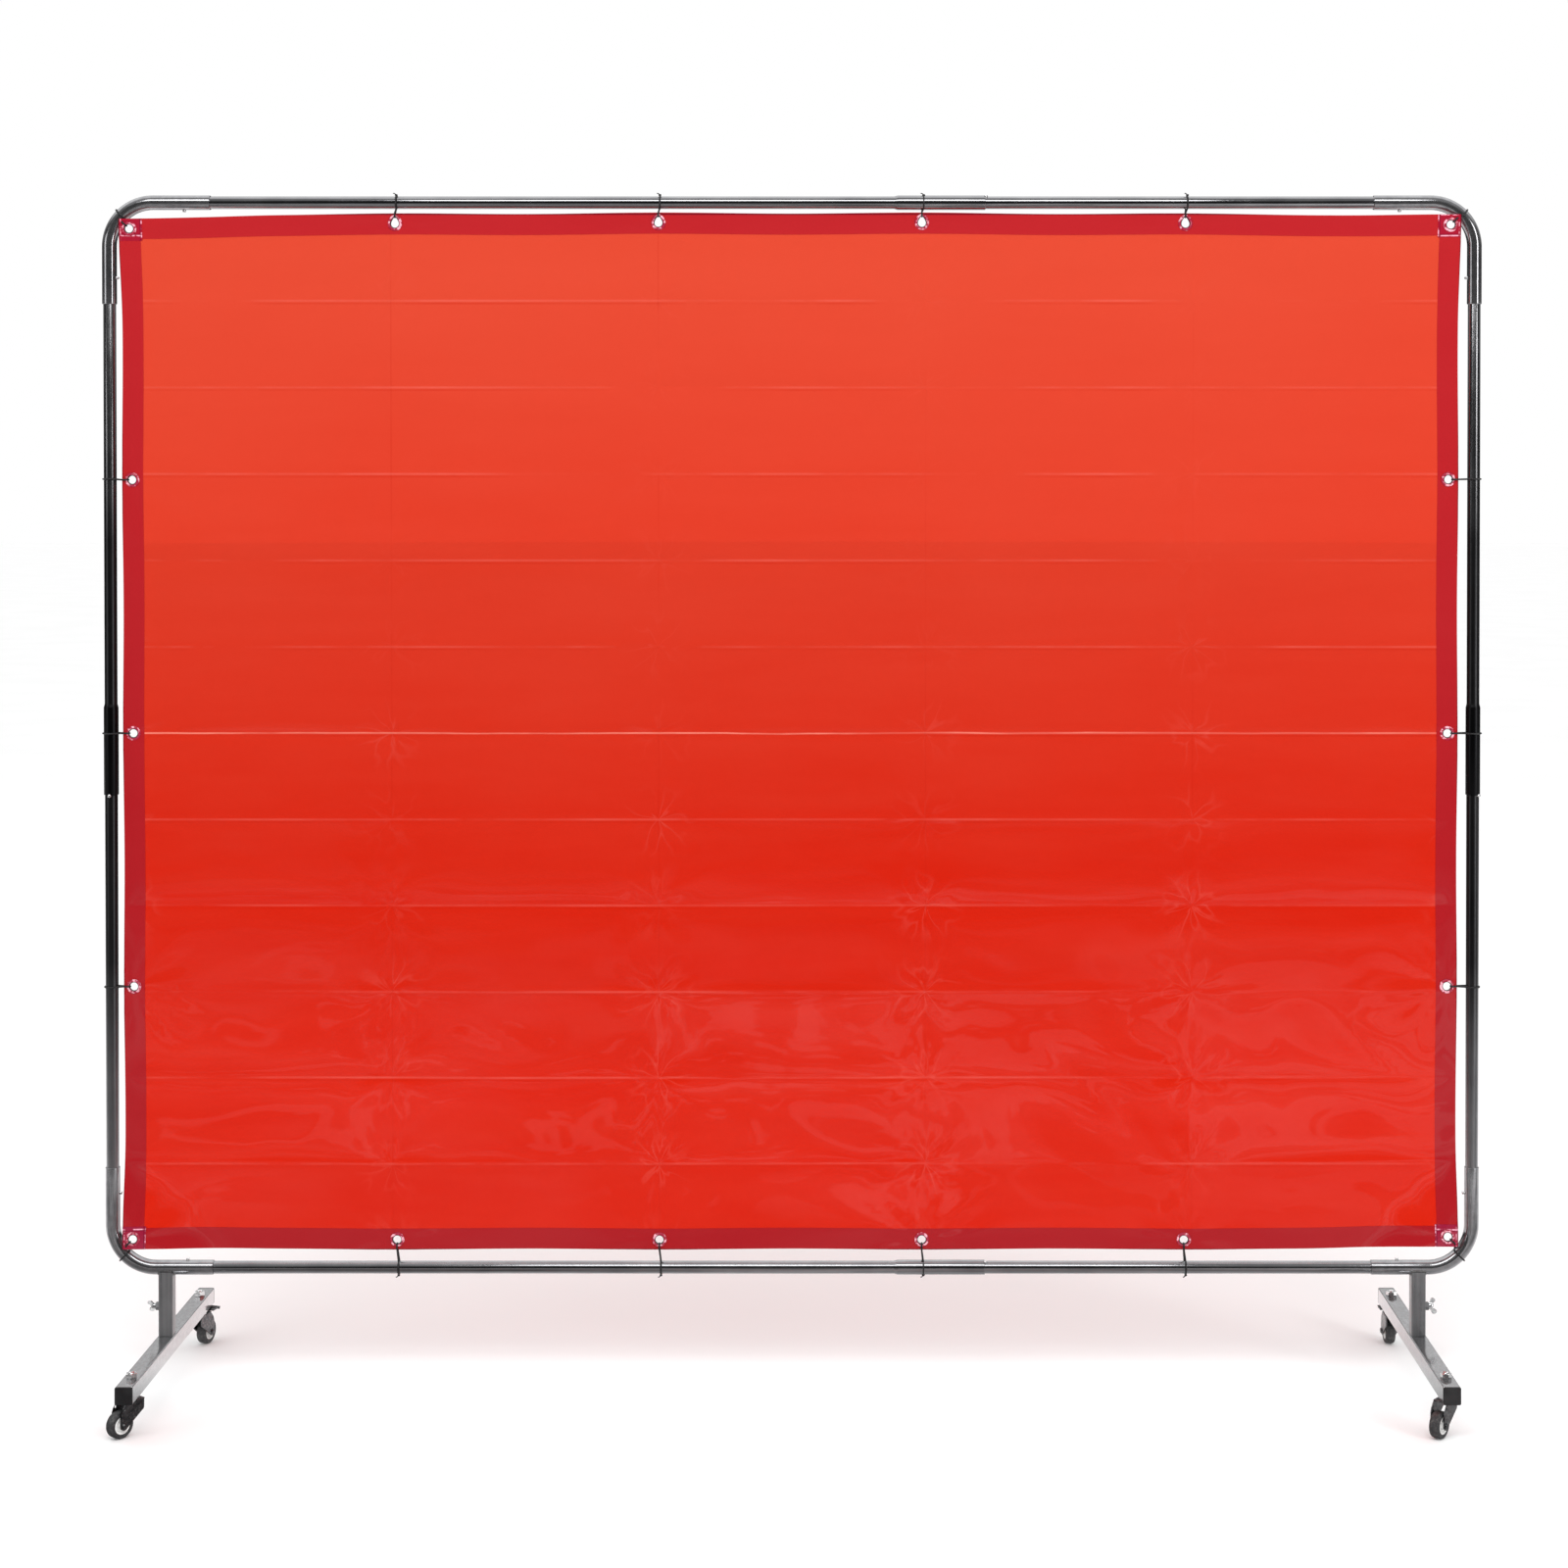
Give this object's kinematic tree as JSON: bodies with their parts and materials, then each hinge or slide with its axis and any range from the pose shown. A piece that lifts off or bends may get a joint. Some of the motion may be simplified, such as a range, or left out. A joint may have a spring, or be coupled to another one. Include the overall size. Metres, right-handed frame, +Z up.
{
  "type": "welding curtain screen",
  "caption": "Free-standing welding screen: a red translucent curtain tied inside a round-tube steel frame that stands on two square-tube feet with swivel casters.",
  "frame": {"origin": "on the floor, at the centre of the screen, midway between the two feet", "axes": "+X to the viewer's right along the curtain's width, +Y to the rear, +Z up; the front is at -Y"},
  "size_m": [2.4254, 0.56, 2.1069],
  "materials": {
    "tube": "galvanised, glossy",
    "foot": "zinc plated, satin",
    "bright_steel": "bright plated",
    "cap": "moulded",
    "tyre": "moulded rubber",
    "hub": "moulded",
    "curtain": "translucent flexible film, creased from folding",
    "eyelet": "clear moulded",
    "tie": "thin moulded strap"
  },
  "bodies": {
    "foot_left": {"foot_beam_left": "foot", "foot_stub_left": "foot", "end_cap_front_left": "cap", "caster_stem_front_left": "bright_steel", "stem_nut_front_left": "bright_steel", "end_cap_rear_left": "cap", "caster_stem_rear_left": "bright_steel", "stem_nut_rear_left": "bright_steel"},
    "frame": {"corner_top_left": "tube", "top_tube_left": "tube", "corner_top_right": "tube", "top_tube_right": "tube", "corner_bottom_left": "tube", "bottom_tube_left": "tube", "corner_bottom_right": "tube", "bottom_tube_right": "tube", "side_tube_upper_left": "tube", "side_tube_lower_left": "tube", "side_tube_upper_right": "tube", "side_tube_lower_right": "tube", "leg_post_left": "tube", "leg_post_right": "tube", "curtain": "curtain"},
    "foot_right": {"foot_beam_right": "foot", "foot_stub_right": "foot", "end_cap_front_right": "cap", "caster_stem_front_right": "bright_steel", "stem_nut_front_right": "bright_steel", "end_cap_rear_right": "cap", "caster_stem_rear_right": "bright_steel", "stem_nut_rear_right": "bright_steel"},
    "wing_screw_left": {"wing_screw_left": "bright_steel"},
    "wing_screw_right": {"wing_screw_right": "bright_steel"},
    "snap_button_top_left_bar": {"snap_button_top_left_bar": "bright_steel"},
    "snap_button_top_left_side": {"snap_button_top_left_side": "bright_steel"},
    "snap_button_top_right_bar": {"snap_button_top_right_bar": "bright_steel"},
    "snap_button_top_right_side": {"snap_button_top_right_side": "bright_steel"},
    "snap_button_bottom_left_bar": {"snap_button_bottom_left_bar": "bright_steel"},
    "snap_button_bottom_left_side": {"snap_button_bottom_left_side": "bright_steel"},
    "snap_button_bottom_right_bar": {"snap_button_bottom_right_bar": "bright_steel"},
    "snap_button_bottom_right_side": {"snap_button_bottom_right_side": "bright_steel"},
    "snap_button_mid_left": {"snap_button_mid_left": "bright_steel"},
    "snap_button_mid_right": {"snap_button_mid_right": "bright_steel"},
    "snap_button_mid_top": {"snap_button_mid_top": "bright_steel"},
    "snap_button_mid_bottom": {"snap_button_mid_bottom": "bright_steel"},
    "caster_front_left": {"caster_fork_front_left": "foot"},
    "wheel_front_left": {"wheel_hub_front_left": "hub", "wheel_tyre_front_left": "tyre"},
    "caster_front_right": {"caster_fork_front_right": "foot"},
    "wheel_front_right": {"wheel_hub_front_right": "hub", "wheel_tyre_front_right": "tyre"},
    "caster_rear_left": {"caster_fork_rear_left": "foot"},
    "wheel_rear_left": {"wheel_hub_rear_left": "hub", "wheel_tyre_rear_left": "tyre"},
    "caster_rear_right": {"caster_fork_rear_right": "foot"},
    "wheel_rear_right": {"wheel_hub_rear_right": "hub", "wheel_tyre_rear_right": "tyre"},
    "brake_rear_left": {"brake_pedal_rear_left": "foot"},
    "brake_rear_right": {"brake_pedal_rear_right": "foot"}
  },
  "joints": [
    {"name": "frame_lift", "type": "slide", "parent": "foot_left", "child": "frame", "axis": [0, 0, 1], "range_m": [0, 0.085]},
    {"name": "foot_right_slide", "type": "slide", "parent": "frame", "child": "foot_right", "axis": [0, 0, -1], "range_m": [0, 0.085]},
    {"name": "wing_screw_left_turn", "type": "hinge", "parent": "frame", "child": "wing_screw_left", "pos_m": [-1.105, 0, 0.146], "axis": [-1, 0, 0], "range_deg": [0, 1080]},
    {"name": "wing_screw_right_turn", "type": "hinge", "parent": "frame", "child": "wing_screw_right", "pos_m": [1.105, 0, 0.146], "axis": [1, 0, 0], "range_deg": [0, 1080]},
    {"name": "snap_button_top_left_bar_press", "type": "slide", "parent": "frame", "child": "snap_button_top_left_bar", "axis": [0, 0, 1], "range_m": [0, 0.0062], "stiffness_N_per_m": 1500, "springref_m": -0.002},
    {"name": "snap_button_top_left_side_press", "type": "slide", "parent": "frame", "child": "snap_button_top_left_side", "axis": [-1, 0, 0], "range_m": [0, 0.0062], "stiffness_N_per_m": 1500, "springref_m": -0.002},
    {"name": "snap_button_top_right_bar_press", "type": "slide", "parent": "frame", "child": "snap_button_top_right_bar", "axis": [0, 0, 1], "range_m": [0, 0.0062], "stiffness_N_per_m": 1500, "springref_m": -0.002},
    {"name": "snap_button_top_right_side_press", "type": "slide", "parent": "frame", "child": "snap_button_top_right_side", "axis": [1, 0, 0], "range_m": [0, 0.0062], "stiffness_N_per_m": 1500, "springref_m": -0.002},
    {"name": "snap_button_bottom_left_bar_press", "type": "slide", "parent": "frame", "child": "snap_button_bottom_left_bar", "axis": [0, 0, -1], "range_m": [0, 0.0062], "stiffness_N_per_m": 1500, "springref_m": -0.002},
    {"name": "snap_button_bottom_left_side_press", "type": "slide", "parent": "frame", "child": "snap_button_bottom_left_side", "axis": [-1, 0, 0], "range_m": [0, 0.0062], "stiffness_N_per_m": 1500, "springref_m": -0.002},
    {"name": "snap_button_bottom_right_bar_press", "type": "slide", "parent": "frame", "child": "snap_button_bottom_right_bar", "axis": [0, 0, -1], "range_m": [0, 0.0062], "stiffness_N_per_m": 1500, "springref_m": -0.002},
    {"name": "snap_button_bottom_right_side_press", "type": "slide", "parent": "frame", "child": "snap_button_bottom_right_side", "axis": [1, 0, 0], "range_m": [0, 0.0062], "stiffness_N_per_m": 1500, "springref_m": -0.002},
    {"name": "snap_button_mid_left_press", "type": "slide", "parent": "frame", "child": "snap_button_mid_left", "axis": [0, 1, 0], "range_m": [0, 0.0045], "stiffness_N_per_m": 1500, "springref_m": -0.002},
    {"name": "snap_button_mid_right_press", "type": "slide", "parent": "frame", "child": "snap_button_mid_right", "axis": [-0.6428, 0.766, 0], "range_m": [0, 0.0045], "stiffness_N_per_m": 1500, "springref_m": -0.002},
    {"name": "snap_button_mid_top_press", "type": "slide", "parent": "frame", "child": "snap_button_mid_top", "axis": [0, 0.5, -0.866], "range_m": [0, 0.0045], "stiffness_N_per_m": 1500, "springref_m": -0.002},
    {"name": "snap_button_mid_bottom_press", "type": "slide", "parent": "frame", "child": "snap_button_mid_bottom", "axis": [0, 0.5, -0.866], "range_m": [0, 0.0045], "stiffness_N_per_m": 1500, "springref_m": -0.002},
    {"name": "caster_front_left_swivel", "type": "hinge", "parent": "foot_left", "child": "caster_front_left", "pos_m": [-1.105, -0.23, 0.06], "axis": [0, 0, 1], "continuous": true},
    {"name": "wheel_front_left_spin", "type": "hinge", "parent": "caster_front_left", "child": "wheel_front_left", "pos_m": [-1.11994, -0.24878, 0.0225], "axis": [0.7826, -0.6225, 0], "continuous": true},
    {"name": "caster_front_right_swivel", "type": "hinge", "parent": "foot_right", "child": "caster_front_right", "pos_m": [1.105, -0.23, 0.06], "axis": [0, 0, 1], "continuous": true},
    {"name": "wheel_front_right_spin", "type": "hinge", "parent": "caster_front_right", "child": "wheel_front_right", "pos_m": [1.09006, -0.24878, 0.0225], "axis": [0.7826, -0.6225, 0], "continuous": true},
    {"name": "caster_rear_left_swivel", "type": "hinge", "parent": "foot_left", "child": "caster_rear_left", "pos_m": [-1.105, 0.23, 0.06], "axis": [0, 0, 1], "continuous": true},
    {"name": "wheel_rear_left_spin", "type": "hinge", "parent": "caster_rear_left", "child": "wheel_rear_left", "pos_m": [-1.09879, 0.25318, 0.0225], "axis": [-0.9659, 0.2588, 0], "continuous": true},
    {"name": "brake_rear_left_press", "type": "hinge", "parent": "caster_rear_left", "child": "brake_rear_left", "pos_m": [-1.09879, 0.25318, 0.05], "axis": [-0.9659, 0.2588, 0], "range_deg": [0, 14]},
    {"name": "caster_rear_right_swivel", "type": "hinge", "parent": "foot_right", "child": "caster_rear_right", "pos_m": [1.105, 0.23, 0.06], "axis": [0, 0, 1], "continuous": true},
    {"name": "wheel_rear_right_spin", "type": "hinge", "parent": "caster_rear_right", "child": "wheel_rear_right", "pos_m": [1.105, 0.254, 0.0225], "axis": [-1, 0, 0], "continuous": true},
    {"name": "brake_rear_right_press", "type": "hinge", "parent": "caster_rear_right", "child": "brake_rear_right", "pos_m": [1.105, 0.254, 0.05], "axis": [-1, 0, 0], "range_deg": [0, 14]}
  ],
  "couplings": [
    {"joint": "foot_right_slide", "follows": "frame_lift", "ratio": 1}
  ]
}
